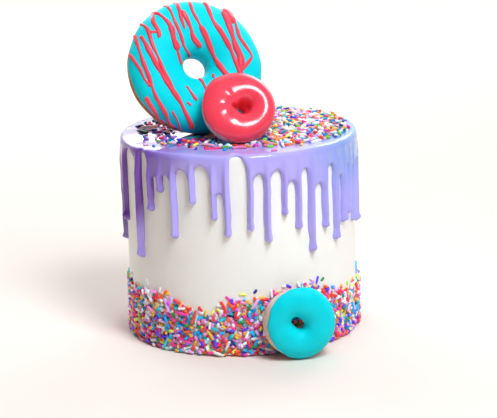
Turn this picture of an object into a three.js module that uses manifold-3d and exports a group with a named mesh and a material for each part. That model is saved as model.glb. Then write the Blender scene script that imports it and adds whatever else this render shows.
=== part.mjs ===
// Drip cake: a cream-covered round cake with a pastel drip icing, a band of sugar sprinkles round
// its foot, sprinkles on top and three iced ring doughnuts.
// Millimetres, Z up. The front faces -Y. The origin is the centre of the flat base.
// Azimuths are in degrees from the front (-Y) towards the right (+X).
import * as THREE from 'three';
import { ParametricGeometry } from 'three/addons/geometries/ParametricGeometry.js';
import { mergeVertices } from 'three/addons/utils/BufferGeometryUtils.js';
import Module from 'manifold-3d';

const wasm = await Module();
wasm.setup();

// Cream-covered body
const CREAM_RADIUS = 75;
const CREAM_HEIGHT = 127.7;
const CREAM_EDGE_RADIUS = 3;
const CREAM_SEGMENTS = 48;
const NODE_GAP = 0.3;

// Drip icing, laid on the body
const ICING_THICKNESS = 2;
const ICING_EDGE_WIDTH = 2.2;
const ICING_EDGE_LIP = 0.35;
const REAR_DRIPS = 12;

// Drips seen from the front: azimuth, height of the tip, width, top of the arch to its right
const FRONT_DRIPS = [
  [-84, 61, 3.4, 95],
  [-76, 76, 6.4, 126],
  [-57, 57, 5, 127.5],
  [-47.6, 90, 3.9, 113],
  [-41, 103.4, 3.8, 115],
  [-33.2, 74.8, 4.6, 119.5],
  [-23.2, 98, 4.2, 122.8],
  [-12.6, 88.3, 4, 105.5],
  [-6.2, 77.6, 4.6, 129],
  [5, 81, 4.3, 117.4],
  [13.1, 73, 4.9, 119],
  [21.7, 89.4, 4.1, 111],
  [28.9, 79.2, 4.5, 117.6],
  [36.2, 62.8, 5.1, 106.5],
  [44.7, 76.2, 4.4, 116.5],
  [53, 66.2, 4.4, 107],
  [60.2, 75.4, 4.4, 112.4],
  [67, 79, 4.5, 109.4],
  [73, 72, 4, 112.4],
];

// Sprinkles: thin sugar rods
const SPRINKLE_RADIUS = 0.9;
const SPRINKLE_SIDES = 5;
const SPRINKLE_LONGEST = 10;
const SPRINKLE_SHORTEST = 6.5;
const SIDE_SPRINKLES = 56;
const TOP_SPRINKLES = 50;
const TOP_SPRINKLE_REACH = 68.5;

// Upper edge of the sprinkle band round the foot: azimuth, height
const BAND_TOP = [
  [-76, 35], [-61, 35.5], [-48, 36], [-33, 33.8], [-25, 28.5], [-18, 27.5], [-8.6, 33.5], [0, 37],
  [11, 38.5], [32, 44], [47, 35], [66, 33.5], [76, 31], [130, 34], [180, 38], [230, 34], [284, 35],
];

// Ring doughnuts. turn faces one to the right, lean tips it back. The hole is an oval or has lobes.
const BIG = {
  name: 'big_doughnut',
  centre: [-27.5, 4.02, 170.2],
  turn: 22.6,
  lean: 26.2,
  outer: 43.6,
  hole: 10.2,
  holeLobes: [2, 0.3, 40],
  thickness: 29.5,
  wobble: [0.7, 90],
  icedFrom: [5, 7, 205],
  icedTo: 196,
  floor: 130.3,
  columns: 32,
};
const PINK = {
  name: 'pink_doughnut',
  centre: [0, -31, 150.1],
  turn: 10.4,
  lean: 37.2,
  outer: 23.1,
  hole: 6.3,
  holeLobes: [2, 1.2, 0],
  thickness: 18.2,
  wobble: [0.4, -80],
  icedFrom: [-2, 18, 194],
  icedTo: 188,
  floor: 130.3,
  columns: 20,
};
const AQUA = {
  name: 'side_doughnut',
  centre: [34.2, -81.9, 22.85],
  turn: 8,
  lean: 0.6,
  outer: 23.1,
  hole: 6.2,
  holeLobes: [3, 0.8, -90],
  thickness: 17.5,
  wobble: [0.35, 60],
  icedFrom: [35, 4, 160],
  icedTo: 186,
  floor: 0,
  columns: 20,
};
const SECTION_POWER = 2.3;
const GLAZE_THICKNESS = 1.5;
const GLAZE_LIP = 0.35;
const SECTION_STEP = 36;

// Drizzle on the big doughnut: points right and up from the hole's centre
const DRIZZLE = [
  [[-42, 11], [-40, -1], [-36, -12]],
  [[-37, 23], [-38, 7], [-34, -18], [-29, -29], [-22, -37]],
  [[-35, 22], [-30, 1], [-24, -14], [-17, -30], [-12, -39]],
  [[-31, 31], [-30, 16], [-25, -9]],
  [[-21, 38], [-25, 21]],
  [[-20, 37], [-17, 20], [-12, 4]],
  [[-12, 41], [-12, 31], [-8, 13]],
  [[-5, 42], [-3, 30], [2, 13]],
  [[3, 40], [5, 23], [16, -9]],
  [[14, 40], [15, 27], [25, -7]],
  [[27, 34], [25, 19], [27, -8]],
  [[32, 28], [36, 2], [28, -8]],
  [[-13, -14], [-8, -25]],
  [[-39, -17], [-32, -31]],
];
const DRIZZLE_RADIUS = 1.1;
const DRIZZLE_SINK = 0.05;
const DRIZZLE_STEP = 8;
const DRIZZLE_SIDES = 4;

const CREAM = { color: 0xfaf6ec, roughness: 0.65 };
const LILAC = { color: 0xb9a2f0, roughness: 0.35 };
const DOUGH = { color: 0xc98f52, roughness: 0.8 };
const PALE_DOUGH = { color: 0xe8c8be, roughness: 0.75 };
const TURQUOISE = { color: 0x05d4e8, roughness: 0.35 };
const CORAL = { color: 0xff4f69, roughness: 0.15 };

const radians = (degrees) => (degrees * Math.PI) / 180;
const fraction = (value) => value - Math.floor(value);

function around(azimuth, radius, height) {
  const angle = radians(azimuth);
  return new THREE.Vector3(radius * Math.sin(angle), -radius * Math.cos(angle), height);
}

function toSolid(geometry) {
  geometry.deleteAttribute('normal');
  geometry.deleteAttribute('uv');
  const merged = mergeVertices(geometry, 1e-4);
  return new wasm.Manifold(new wasm.Mesh({
    numProp: 3,
    vertProperties: new Float32Array(merged.attributes.position.array),
    triVerts: new Uint32Array(merged.index.array),
  }));
}

function toMesh(name, solid, look) {
  const { vertProperties, triVerts } = solid.getMesh();
  const geometry = new THREE.BufferGeometry();
  geometry.setAttribute('position', new THREE.BufferAttribute(vertProperties, 3));
  geometry.setIndex(new THREE.BufferAttribute(triVerts, 1));
  geometry.computeVertexNormals();
  const mesh = new THREE.Mesh(geometry, new THREE.MeshStandardMaterial(look));
  mesh.name = name;
  return mesh;
}

// A closed surface of revolving rows: point(column, row) gives each corner. The columns go round
// the axis and the rows go up the outside.
function rowSolid(columns, rows, point) {
  const corner = (across, up, target) => {
    const column = Math.round(across * columns) % columns;
    target.copy(point(column, Math.round(up * rows)));
  };
  return toSolid(new ParametricGeometry(corner, columns, rows));
}

// The cream was smoothed by hand, so the side is out of round by a few tenths of a millimetre.
function creamWave(azimuth, height) {
  const swell = 0.3 * Math.sin(radians(2 * azimuth + 40)) + 0.2 * Math.sin(radians(5 * azimuth));
  return swell * Math.sin((Math.PI * height) / CREAM_HEIGHT);
}

function creamSolid(growth) {
  const side = CREAM_RADIUS + growth;
  const top = CREAM_HEIGHT + growth;
  const corner = CREAM_EDGE_RADIUS + growth;
  const profile = [[0, 0], [side - 0.9, 0], [side, 0.9], [side, 64]];
  for (const turn of [90, 45, 0]) {
    const across = side - corner + corner * Math.sin(radians(turn));
    profile.push([across, top - corner + corner * Math.cos(radians(turn))]);
  }
  const points = [...profile, [0, top]].map(([radius, height]) => new THREE.Vector2(radius, height));
  const geometry = new THREE.LatheGeometry(points, CREAM_SEGMENTS).rotateX(Math.PI / 2);
  const position = geometry.attributes.position;
  const point = new THREE.Vector3();
  for (let index = 0; index < position.count; index += 1) {
    point.fromBufferAttribute(position, index);
    const radius = Math.hypot(point.x, point.y);
    if (radius > 1) {
      const azimuth = (Math.atan2(point.x, -point.y) * 180) / Math.PI;
      const scale = 1 + creamWave(azimuth, point.z) / radius;
      position.setXYZ(index, point.x * scale, point.y * scale, point.z);
    }
  }
  return toSolid(geometry);
}

// A sugar rod along a direction.
function sprinkle(centre, direction, length) {
  const straight = length - 2 * SPRINKLE_RADIUS;
  const rod = new THREE.CapsuleGeometry(SPRINKLE_RADIUS, straight, 1, SPRINKLE_SIDES, 1);
  const turn = new THREE.Quaternion();
  turn.setFromUnitVectors(new THREE.Vector3(0, 1, 0), direction.clone().normalize());
  return toSolid(rod.applyQuaternion(turn).translate(...centre.toArray()));
}

// Sprinkle number index is placed by steps of fixed irrational fractions, which spread them evenly.
function scatter(index, total) {
  const rank = index / total;
  return {
    across: fraction(0.5 + index * 0.7548776662),
    along: fraction(0.5 + index * 0.569840291),
    angle: Math.PI * fraction(0.5 + index * 0.8191725134),
    length: SPRINKLE_LONGEST + (SPRINKLE_SHORTEST - SPRINKLE_LONGEST) * rank,
  };
}

function bandTop(azimuth) {
  const wrapped = azimuth < -76 ? azimuth + 360 : azimuth;
  const after = BAND_TOP.findIndex(([place]) => place >= wrapped);
  const [start, low] = BAND_TOP[Math.max(after - 1, 0)];
  const [end, high] = BAND_TOP[Math.max(after, 1)];
  return low + ((high - low) * (wrapped - start)) / (end - start);
}

function sideSprinkles() {
  const rods = [];
  for (let index = 0; index < SIDE_SPRINKLES; index += 1) {
    const { across, along, angle, length } = scatter(index, SIDE_SPRINKLES);
    const azimuth = 284 - 360 * across;
    const reach = (Math.abs(Math.cos(angle)) * length) / 2 + 1;
    const height = reach + (bandTop(azimuth) - 2 * reach) * along;
    const radius = CREAM_RADIUS + creamWave(azimuth, height) + 0.35;
    const tangent = around(azimuth + 90, 1, 0).multiplyScalar(Math.sin(angle));
    const direction = tangent.add(new THREE.Vector3(0, 0, Math.cos(angle)));
    rods.push(sprinkle(around(azimuth, radius, height), direction, length));
  }
  return rods;
}

function cake() {
  const solid = wasm.Manifold.union([creamSolid(0), ...sideSprinkles()]);
  return toMesh('cake', solid, CREAM);
}

function drips() {
  const all = [...FRONT_DRIPS];
  const start = FRONT_DRIPS[FRONT_DRIPS.length - 1][0];
  const span = 360 + FRONT_DRIPS[0][0] - start;
  for (let index = 1; index <= REAR_DRIPS; index += 1) {
    const shift = fraction(index * 0.618034) - 0.5;
    const azimuth = start + (span * (index + 0.4 * shift)) / (REAR_DRIPS + 1);
    const tip = 64 + 40 * fraction(0.3 + index * 0.7548776662);
    const arch = 108 + 16 * fraction(index * 0.569840291);
    all.push([azimuth, tip, 4.8 + shift, arch]);
  }
  return all;
}

// Distances along the icing's underside: outwards over the flat top, round the edge, down the side.
const UNDER_RADIUS = CREAM_RADIUS + NODE_GAP;
const UNDER_TOP = CREAM_HEIGHT + NODE_GAP;
const UNDER_CORNER = CREAM_EDGE_RADIUS + NODE_GAP;
const FLAT_REACH = UNDER_RADIUS - UNDER_CORNER;
const SIDE_START = FLAT_REACH + (UNDER_CORNER * Math.PI) / 2;

function icingPoint(azimuth, path, lift) {
  let radius = path;
  let height = UNDER_TOP + lift;
  if (path > SIDE_START) {
    radius = UNDER_RADIUS + lift;
    height = UNDER_TOP - UNDER_CORNER - (path - SIDE_START);
  } else if (path > FLAT_REACH) {
    const turn = (path - FLAT_REACH) / UNDER_CORNER;
    radius = FLAT_REACH + (UNDER_CORNER + lift) * Math.sin(turn);
    height = UNDER_TOP - UNDER_CORNER + (UNDER_CORNER + lift) * Math.cos(turn);
  }
  return around(azimuth, radius + creamWave(azimuth, height), height);
}

function pathAt(height) {
  const above = height - (UNDER_TOP - UNDER_CORNER);
  if (above <= 0) {
    return SIDE_START - above;
  }
  const cosine = Math.min(above / (UNDER_CORNER + ICING_THICKNESS), 1);
  return FLAT_REACH + UNDER_CORNER * Math.acos(cosine);
}

// Lower edge of the icing as columns of azimuth and path: round drip tips, arches between them.
function icingEdge() {
  const all = drips();
  const toDegrees = 180 / (Math.PI * UNDER_RADIUS);
  const edge = [];
  all.forEach(([azimuth, tip, width, arch], index) => {
    const following = all[(index + 1) % all.length];
    const wrap = index === all.length - 1 ? 360 : 0;
    const half = width / 2;
    for (const across of [-1, -0.6, 0.6, 1]) {
      const rise = half * (1 - Math.sqrt(1 - across * across));
      edge.push({ azimuth: azimuth + across * half * toDegrees, path: pathAt(tip + rise) });
    }
    const from = azimuth + half * toDegrees;
    const to = following[0] + wrap - (following[2] / 2) * toDegrees;
    const span = (to - from) / 2;
    const depth = Math.min(span / toDegrees, 6);
    for (const across of [-0.9, 0, 0.9]) {
      const drop = depth * (1 - Math.sqrt(1 - across * across));
      edge.push({ azimuth: from + span * (1 + across), path: pathAt(arch - drop) });
    }
  });
  return edge;
}

function distanceToEdge(azimuth, path, edge) {
  const scale = radians(UNDER_RADIUS);
  let nearest = ICING_EDGE_WIDTH;
  edge.forEach((start, index) => {
    const end = edge[(index + 1) % edge.length];
    const wrap = index === edge.length - 1 ? 360 : 0;
    const alongX = (end.azimuth + wrap - start.azimuth) * scale;
    const alongY = end.path - start.path;
    const gapX = (azimuth - start.azimuth) * scale;
    const gapY = path - start.path;
    const length = alongX * alongX + alongY * alongY;
    const share = Math.min(Math.max((gapX * alongX + gapY * alongY) / length, 0), 1);
    nearest = Math.min(nearest, Math.hypot(gapX - share * alongX, gapY - share * alongY));
  });
  return nearest;
}

// Full thickness away from the edge, rounded down to a thin lip at it.
function icingLift(azimuth, path, edge) {
  const inside = distanceToEdge(azimuth, path, edge) / ICING_EDGE_WIDTH;
  return Math.max(ICING_THICKNESS * Math.sqrt(1 - (1 - inside) ** 2), ICING_EDGE_LIP);
}

// The rows go up from inside the body, over the lower edge and the outer face, to the top's centre.
function icingSolid() {
  const edge = icingEdge();
  const bend = (end, share) => Math.min(SIDE_START - FLAT_REACH, 0.6 * (end - FLAT_REACH)) * share;
  const depths = [
    (end) => end,
    (end) => end - Math.min(1.6, 0.15 * (end - FLAT_REACH)),
    (end) => end - Math.min(5.5, 0.3 * (end - FLAT_REACH)),
    (end) => FLAT_REACH + bend(end, 1),
    (end) => FLAT_REACH + bend(end, 0.5),
  ];
  const rows = depths.length + 4;
  const shape = rowSolid(edge.length, rows - 1, (column, row) => {
    const { azimuth, path } = edge[column];
    if (row === 0) {
      return new THREE.Vector3(0, 0, 92);
    }
    if (row === 1) {
      return icingPoint(azimuth, path, -0.8);
    }
    if (row === rows - 2) {
      return icingPoint(azimuth, FLAT_REACH, ICING_THICKNESS);
    }
    if (row === rows - 1) {
      return new THREE.Vector3(0, 0, UNDER_TOP + ICING_THICKNESS);
    }
    const depth = depths[row - 2](path);
    return icingPoint(azimuth, depth, icingLift(azimuth, depth, edge));
  });
  return shape.subtract(creamSolid(NODE_GAP));
}

function doughnutGroup(shape) {
  const group = new THREE.Group();
  group.name = shape.name;
  group.position.set(...shape.centre);
  group.rotation.set(radians(90 - shape.lean), 0, radians(shape.turn), 'ZYX');
  group.updateMatrixWorld();
  return group;
}

// True where a point is within the margin of a doughnut.
function nearDoughnut(shape, point, margin) {
  const local = doughnutGroup(shape).worldToLocal(point.clone());
  const middle = (shape.outer + shape.hole) / 2;
  const across = (Math.hypot(local.x, local.y) - middle) / ((shape.outer - shape.hole) / 2 + margin);
  const through = local.z / (shape.thickness / 2 + margin);
  return Math.abs(across) ** SECTION_POWER + Math.abs(through) ** SECTION_POWER < 1;
}

function topSprinkles() {
  const rods = [];
  const level = UNDER_TOP + ICING_THICKNESS + 0.35;
  for (let index = 0; index < TOP_SPRINKLES; index += 1) {
    const { across, along, angle, length } = scatter(index, TOP_SPRINKLES);
    const centre = around(360 * across, (TOP_SPRINKLE_REACH - length / 2) * Math.sqrt(along), level);
    const direction = new THREE.Vector3(Math.cos(angle), Math.sin(angle), 0);
    const blocked = [-0.5, 0, 0.5].some((share) => {
      const point = centre.clone().addScaledVector(direction, share * length);
      return [BIG, PINK].some((shape) => nearDoughnut(shape, point, 3.3));
    });
    if (!blocked) {
      rods.push(sprinkle(centre, direction, length));
    }
  }
  return rods;
}

function dripIcing() {
  const solid = wasm.Manifold.union([icingSolid(), ...topSprinkles()]);
  return toMesh('drip_icing', solid, LILAC);
}

// Point of the dough's rounded section, lifted off it: turn goes round the ring, angle round the
// section from the outer rim over the front.
function doughnutPoint(shape, turn, angle, lift) {
  const [lobes, swing, phase] = shape.holeLobes;
  const [wave, start] = shape.wobble;
  const outer = shape.outer + wave * Math.sin(radians(2 * turn + start));
  const hole = shape.hole + swing * Math.cos(radians(lobes * turn + phase));
  const width = (outer - hole) / 2;
  const cosine = Math.cos(radians(angle));
  const sine = Math.sin(radians(angle));
  const glazed = sine > 0 ? GLAZE_THICKNESS + NODE_GAP : 0;
  const depth = shape.thickness / 2 - glazed;
  const across = Math.sign(cosine) * Math.abs(cosine) ** (2 / SECTION_POWER);
  const through = Math.sign(sine) * Math.abs(sine) ** (2 / SECTION_POWER);
  const normal = new THREE.Vector2(
    (Math.sign(across) * Math.abs(across) ** (SECTION_POWER - 1)) / width,
    (Math.sign(through) * Math.abs(through) ** (SECTION_POWER - 1)) / depth,
  ).normalize();
  const radius = (outer + hole) / 2 + width * across + lift * normal.x;
  const height = depth * through + lift * normal.y;
  return new THREE.Vector3(radius * Math.cos(radians(turn)), radius * Math.sin(radians(turn)), height);
}

// A ring whose section is a closed list of functions that give the angle and the lift at a turn.
function ringSolid(shape, section) {
  return rowSolid(shape.columns, section.length, (column, row) => {
    const turn = (360 * column) / shape.columns;
    const [angle, lift] = section[row % section.length](turn);
    return doughnutPoint(shape, turn, angle, lift);
  });
}

// Cuts the flat spot a doughnut rests on.
function restFlat(shape, solid) {
  const level = doughnutGroup(shape).quaternion.invert();
  const up = new THREE.Vector3(0, 0, 1).applyQuaternion(level);
  return solid.trimByPlane(up.toArray(), shape.floor - shape.centre[2]);
}

function dough(shape, look) {
  const section = [];
  for (let angle = 0; angle < 360; angle += SECTION_STEP) {
    section.push(() => [angle, 0]);
  }
  return toMesh(`${shape.name}_dough`, restFlat(shape, ringSolid(shape, section)), look);
}

// The glaze runs from the outer rim over the front into the hole, with rounded thin edges. Its
// underside follows the dough's corners.
function glazeSolid(shape) {
  const [middle, swing, towards] = shape.icedFrom;
  const from = (turn) => middle + swing * Math.cos(radians(turn - towards));
  const inside = (angle, turn) => Math.max(angle, from(turn) + 1);
  const steps = [];
  for (let angle = 0; angle < shape.icedTo - 4; angle += SECTION_STEP) {
    if (angle > middle - swing) {
      steps.push(angle);
    }
  }
  const thin = NODE_GAP + GLAZE_LIP;
  const lift = (angle, turn) => {
    const edge = Math.max(Math.min(angle - from(turn), shape.icedTo - angle), 0);
    const rounded = Math.sqrt(1 - (1 - Math.min(edge / 12, 1)) ** 2);
    return thin + (GLAZE_THICKNESS - GLAZE_LIP) * rounded;
  };
  const section = [
    (turn) => [from(turn), thin],
    ...steps.map((angle) => (turn) => [inside(angle, turn), lift(angle, turn)]),
    () => [shape.icedTo, thin],
    () => [shape.icedTo, NODE_GAP],
    ...steps.reverse().map((angle) => (turn) => [inside(angle, turn), NODE_GAP]),
    (turn) => [from(turn), NODE_GAP],
  ];
  return restFlat(shape, ringSolid(shape, section));
}

function frontHeight(shape, right, up) {
  const width = (shape.outer - shape.hole) / 2 + GLAZE_THICKNESS;
  const across = Math.abs((Math.hypot(right, up) - (shape.outer + shape.hole) / 2) / width);
  return (shape.thickness / 2) * (1 - Math.min(across, 0.97) ** SECTION_POWER) ** (1 / SECTION_POWER);
}

// A strand of drizzle, half sunk in the glaze, along a smooth curve through the points.
function strand(shape, points) {
  const flat = new THREE.CatmullRomCurve3(points.map(([right, up]) => new THREE.Vector3(right, up, 0)));
  const steps = Math.ceil(flat.getLength() / DRIZZLE_STEP);
  const lying = flat.getSpacedPoints(steps).map(({ x, y }) => {
    return new THREE.Vector3(x, y, frontHeight(shape, x, y) - DRIZZLE_SINK);
  });
  const outline = new THREE.Shape();
  outline.absarc(0, 0, DRIZZLE_RADIUS, 0, 2 * Math.PI);
  const extrudePath = new THREE.CatmullRomCurve3(lying);
  const curveSegments = DRIZZLE_SIDES / 2;
  return toSolid(new THREE.ExtrudeGeometry(outline, { steps, curveSegments, extrudePath }));
}

function glaze(shape, look) {
  return toMesh(`${shape.name}_icing`, glazeSolid(shape), look);
}

function drizzledGlaze(shape, look) {
  const strands = DRIZZLE.map((points) => strand(shape, points));
  const solid = wasm.Manifold.union([glazeSolid(shape), ...strands]);
  return toMesh(`${shape.name}_icing`, solid, look);
}

const part = new THREE.Group();
part.name = 'drip_cake';
part.add(
  cake(),
  dripIcing(),
  doughnutGroup(BIG).add(dough(BIG, DOUGH), drizzledGlaze(BIG, TURQUOISE)),
  doughnutGroup(PINK).add(dough(PINK, PALE_DOUGH), glaze(PINK, CORAL)),
  doughnutGroup(AQUA).add(dough(AQUA, PALE_DOUGH), glaze(AQUA, TURQUOISE)),
);

export default part;
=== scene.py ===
"""Drip cake: a cream-covered round cake with a pastel drip icing, sugar sprinkles and three iced
ring doughnuts. Shapes are worked out in millimetres, Z up, with the front facing -Y and the origin
at the centre of the flat base. Azimuths are in degrees from the front towards the right (+X)."""
import math

import bpy
import numpy as np
from mathutils import Matrix, Vector


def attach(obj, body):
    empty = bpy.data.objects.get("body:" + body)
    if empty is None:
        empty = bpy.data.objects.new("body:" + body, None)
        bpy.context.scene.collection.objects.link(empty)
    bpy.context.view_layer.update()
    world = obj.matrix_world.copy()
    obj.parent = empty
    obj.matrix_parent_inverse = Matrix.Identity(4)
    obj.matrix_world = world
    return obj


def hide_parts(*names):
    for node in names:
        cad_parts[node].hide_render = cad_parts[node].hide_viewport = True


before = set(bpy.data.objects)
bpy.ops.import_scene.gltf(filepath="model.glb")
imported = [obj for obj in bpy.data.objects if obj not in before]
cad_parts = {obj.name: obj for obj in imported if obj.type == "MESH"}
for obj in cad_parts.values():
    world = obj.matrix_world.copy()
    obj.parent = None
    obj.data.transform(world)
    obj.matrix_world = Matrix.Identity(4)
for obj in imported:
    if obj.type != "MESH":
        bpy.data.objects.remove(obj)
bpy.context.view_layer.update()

bl_info = {
    "name": "Drip cake",
    "version": (1, 0, 0),
    "blender": (4, 5, 0),
    "location": "3D View > Sidebar > Drip cake",
    "description": "Builds the drip cake's cream, icing, sprinkles, doughnuts and stage",
    "category": "Add Mesh",
}

MM = 0.001

# Drips seen from the front: azimuth, height of the tip, width, top of the arch to its right
FRONT_DRIPS = [
    (-84, 61, 3.4, 95), (-76, 76, 6.4, 126), (-57, 57, 5, 127.5), (-47.6, 90, 3.9, 113),
    (-41, 103.4, 3.8, 115), (-33.2, 74.8, 4.6, 119.5), (-23.2, 98, 4.2, 122.8), (-12.6, 88.3, 4, 105.5),
    (-6.2, 77.6, 4.6, 129), (5, 81, 4.3, 117.4), (13.1, 73, 4.9, 119), (21.7, 89.4, 4.1, 111),
    (28.9, 79.2, 4.5, 117.6), (36.2, 62.8, 5.1, 106.5), (44.7, 76.2, 4.4, 116.5), (53, 66.2, 4.4, 107),
    (60.2, 75.4, 4.4, 112.4), (67, 79, 4.5, 109.4), (73, 72, 4, 112.4),
]
REAR_DRIPS = 12
PINCHED = (-57, -47.6, -41, 36.2, 53)

# Upper edge of the sprinkle band round the foot: azimuth, height
BAND_TOP = [
    (-76, 35), (-61, 35.5), (-48, 36), (-33, 33.8), (-25, 28.5), (-18, 27.5), (-8.6, 33.5), (0, 37),
    (11, 38.5), (32, 44), (47, 35), (66, 33.5), (76, 31), (130, 34), (180, 38), (230, 34), (284, 35),
]

# How densely they lie in it: azimuth, share
BAND_DENSITY = [(-76, 1), (44, 1), (56, 0.17), (80, 0.13), (110, 0.3), (140, 1), (284, 1)]

# How far the rods may stand off the side: azimuth, millimetres. The band's lists start at its seam
BAND_DEPTH = [(-76, 2.0), (-50, 3.3), (225, 3.3), (250, 2.0), (284, 2.0)]
SEAM = -76

# Outer edge of the sprinkles on top: azimuth, distance from the axis
TOP_EDGE = [
    (-99, 68), (-78, 63), (-60, 60), (-45, 61), (-30, 61), (-15, 58), (0, 56.5), (10, 55), (20, 58),
    (30, 60), (45, 60), (60, 67), (75, 71), (105, 71), (140, 67), (180, 66), (225, 67), (261, 68),
]

# How densely they lie: azimuth, share
TOP_DENSITY = [
    (-120, 0.1), (-60, 0.08), (-20, 0.17), (5, 0.35), (25, 0.6), (40, 1), (200, 1), (240, 0.1),
]

# How high the rods may pile up on top: azimuth, millimetres
TOP_DEPTH = [(-30, 1.9), (25, 1.9), (45, 3.0), (120, 2.6), (160, 2.0)]

# Ring doughnuts, as in the solids. turn faces one to the right, lean tips it back, lobes make its
# hole wavy and wobble its outer edge. crest moves the top of its section towards the hole and skew
# moves it to the right, aside puts the hole off centre, closed narrows it at the back, and ripple
# lists angles round the face and how high the icing stands there. Below its floor it is cut flat.
EVEN = {"aside": 0, "closed": 0, "skew": 0, "ripple": [(0, 0)]}
ICED_TOP = 130.3
BIG = {
    **EVEN, "name": "big_doughnut", "centre": (-27.5, 4.02, 170.2), "turn": 22.6, "lean": 26.2,
    "outer": 43.4, "hole": 9.7, "lobes": (2, 0.3, 40), "thickness": 29.5, "wobble": (0.7, 90),
    "iced_from": (4, 5, 200), "iced_to": 196, "floor": ICED_TOP, "crest": 0.0, "lump": 0.35,
}
PINK = {
    "name": "pink_doughnut", "centre": (0, -31, 150.1), "turn": 10.4, "lean": 37.2,
    "outer": 22.9, "hole": 5.3, "lobes": (2, 2.0, 0), "thickness": 18.2, "wobble": (0.4, -80),
    "iced_from": (1, 18, 197), "iced_to": 250, "floor": ICED_TOP, "crest": 0.8, "lump": 0.06,
    "aside": 2.6, "closed": 0.93, "skew": 2.6, "ripple": [
        (40, 0), (104, -0.25), (130, 0.4), (172, -0.4), (207, 0.42), (250, -0.5), (292, -1), (350, 0)],
}
SIDE = {
    **EVEN, "name": "side_doughnut", "centre": (33.8, -81.4, 22.97), "turn": 8, "lean": 0.6,
    "outer": 21.95, "hole": 5.7, "lobes": (2, 0.9, 90), "thickness": 17.5, "wobble": (0.1, 90),
    "iced_from": (12, 37, 188), "iced_to": 187, "floor": 0, "crest": 0.4, "lump": 0.15,
    "closed": 0.75,
}
SECTION_POWER = 2.3
NODE_GAP = 0.3
SUNK = 0.4  # how far the drip icing reaches below its underside
BEAD = 0.56  # radius of the bead at a drip's tip, in widths of the drip

# Drizzle on the big doughnut: half width, then points right and up from the hole's centre
DRIZZLE = [
    (1.0, [(-43, 13), (-42, 7), (-40, -1), (-39, -6), (-36, -12)]),
    (1.2, [(-37, 25), (-38, 18), (-38, 7), (-36, -7), (-34, -18), (-29, -29), (-26, -35), (-22, -38)]),
    (1.5, [(-35, 23), (-33, 12), (-30, 1), (-27, -7), (-24, -14), (-19, -25), (-17, -31), (-12, -41)]),
    (1.2, [(-31, 32), (-30, 26), (-30, 16), (-28, 6), (-26, -3), (-22, -16)]),
    (1.3, [(-21, 39), (-25, 31), (-24, 23), (-25, 19)]),
    (2.3, [(-15.5, 27), (-15, 22), (-15, 17), (-13, 10)]),
    (1.4, [(-21, 38.5), (-18, 32), (-15.5, 26), (-14.5, 14), (-13, 7), (-11.5, 1)]),
    (1.1, [(-12, 43), (-12, 31), (-10, 21), (-8, 12), (-3, 8)]),
    (1.2, [(-5, 45), (-7, 32), (-6, 23)]), (1.6, [(-5, 36), (-2, 24), (-1, 17), (4, 11)]),
    (1.1, [(3, 42), (2, 35), (4, 27), (6, 21)]),
    (1.7, [(4.5, 25), (7, 18), (9, 12), (12, 3), (16, -10), (19, -16)]),
    (1.6, [(14, 41), (14, 28), (18, 18), (22, 7), (25, -8), (26, -14)]),
    (2.1, [(26, 36), (24.5, 30), (25, 19), (26, 9), (28, 0), (26, -8), (27, -14)]),
    (3.4, [(26.5, 35), (28, 29.5), (28.2, 24)]),
    (1.2, [(31, 31), (30, 16), (33, 8), (36, 1), (33, -3), (27, -8)]),
    (1.3, [(0, -9), (0, -16), (1, -20)]), (0.8, [(9, -7), (8, -11)]),
    (1.0, [(-13, -14), (-11, -18), (-8, -25)]), (1.0, [(-15, -25), (-12, -28)]),
    (1.5, [(-39, -17), (-37, -22), (-32, -31), (-30, -36)]),
    (0.7, [(-25, -29), (-20, -38), (-18, -41)]),
    (0.9, [(-30, 24), (-26, 23.5), (-24, 23)]),
]

# Sugar colours, and how often each comes on the side and on top. The top's shares run lighter, with
# much more white: partly real white rods, partly a painted sheen for the glare on the lit top.
SUGAR = [
    ("F8327C", 13, 7), ("FC7CAC", 10, 8), ("FEC0D6", 11, 12), ("EA3DB8", 2, 3), ("F22C2A", 14, 3),
    ("FF5016", 12, 6), ("FF9636", 8, 8), ("FFE05A", 4, 8), ("FFFFFF", 11, 26), ("7DD232", 2, 5),
    ("1A7A40", 3, 3), ("0790CC", 13, 8), ("84CCF8", 2, 3), ("4E34C8", 10, 3), ("BE96EC", 7, 3),
    ("1D2870", 2, 2), ("00A0B4", 9, 6),
]

# Rods lying apart from the rest. Side: azimuth, height, lean from upright, length, colour in SUGAR
SIDE_STRAYS = [
    (83, 37, 2, 9, 11), (39, 43.5, 20, 5.5, 13), (42.5, 43, 60, 3.6, 10), (35.5, 43, 75, 4.5, 14),
    (6, 42, 35, 3.4, 15),
]
# Top: azimuth, distance from the axis, direction, length, colour in SUGAR
TOP_STRAYS = [
    (18.8, 69.5, 20, 4.2, 1), (-8, 60.5, 60, 3.4, 11), (-52, 68, 100, 4.0, 11), (-57, 70, 30, 3.6, 2),
]


def linear(colour):
    """Linear red, green, blue and alpha of an sRGB hex value."""
    parts = [int(colour[start:start + 2], 16) / 255 for start in (0, 2, 4)]
    return tuple(c / 12.92 if c <= 0.04045 else ((c + 0.055) / 1.055) ** 2.4 for c in parts) + (1.0,)


def length(name, millimetres, description):
    """A distance that a user can change."""
    return bpy.props.FloatProperty(
        name=name, description=description, default=millimetres * MM, unit="LENGTH", subtype="DISTANCE")


def tint(name, colour, description):
    """A colour that a user can change."""
    return bpy.props.FloatVectorProperty(
        name=name, description=description, default=linear(colour)[:3], min=0, max=1, subtype="COLOR")


def number(name, whole, least, description):
    """A whole number that a user can change."""
    return bpy.props.IntProperty(name=name, description=description, default=whole, min=least)


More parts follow.
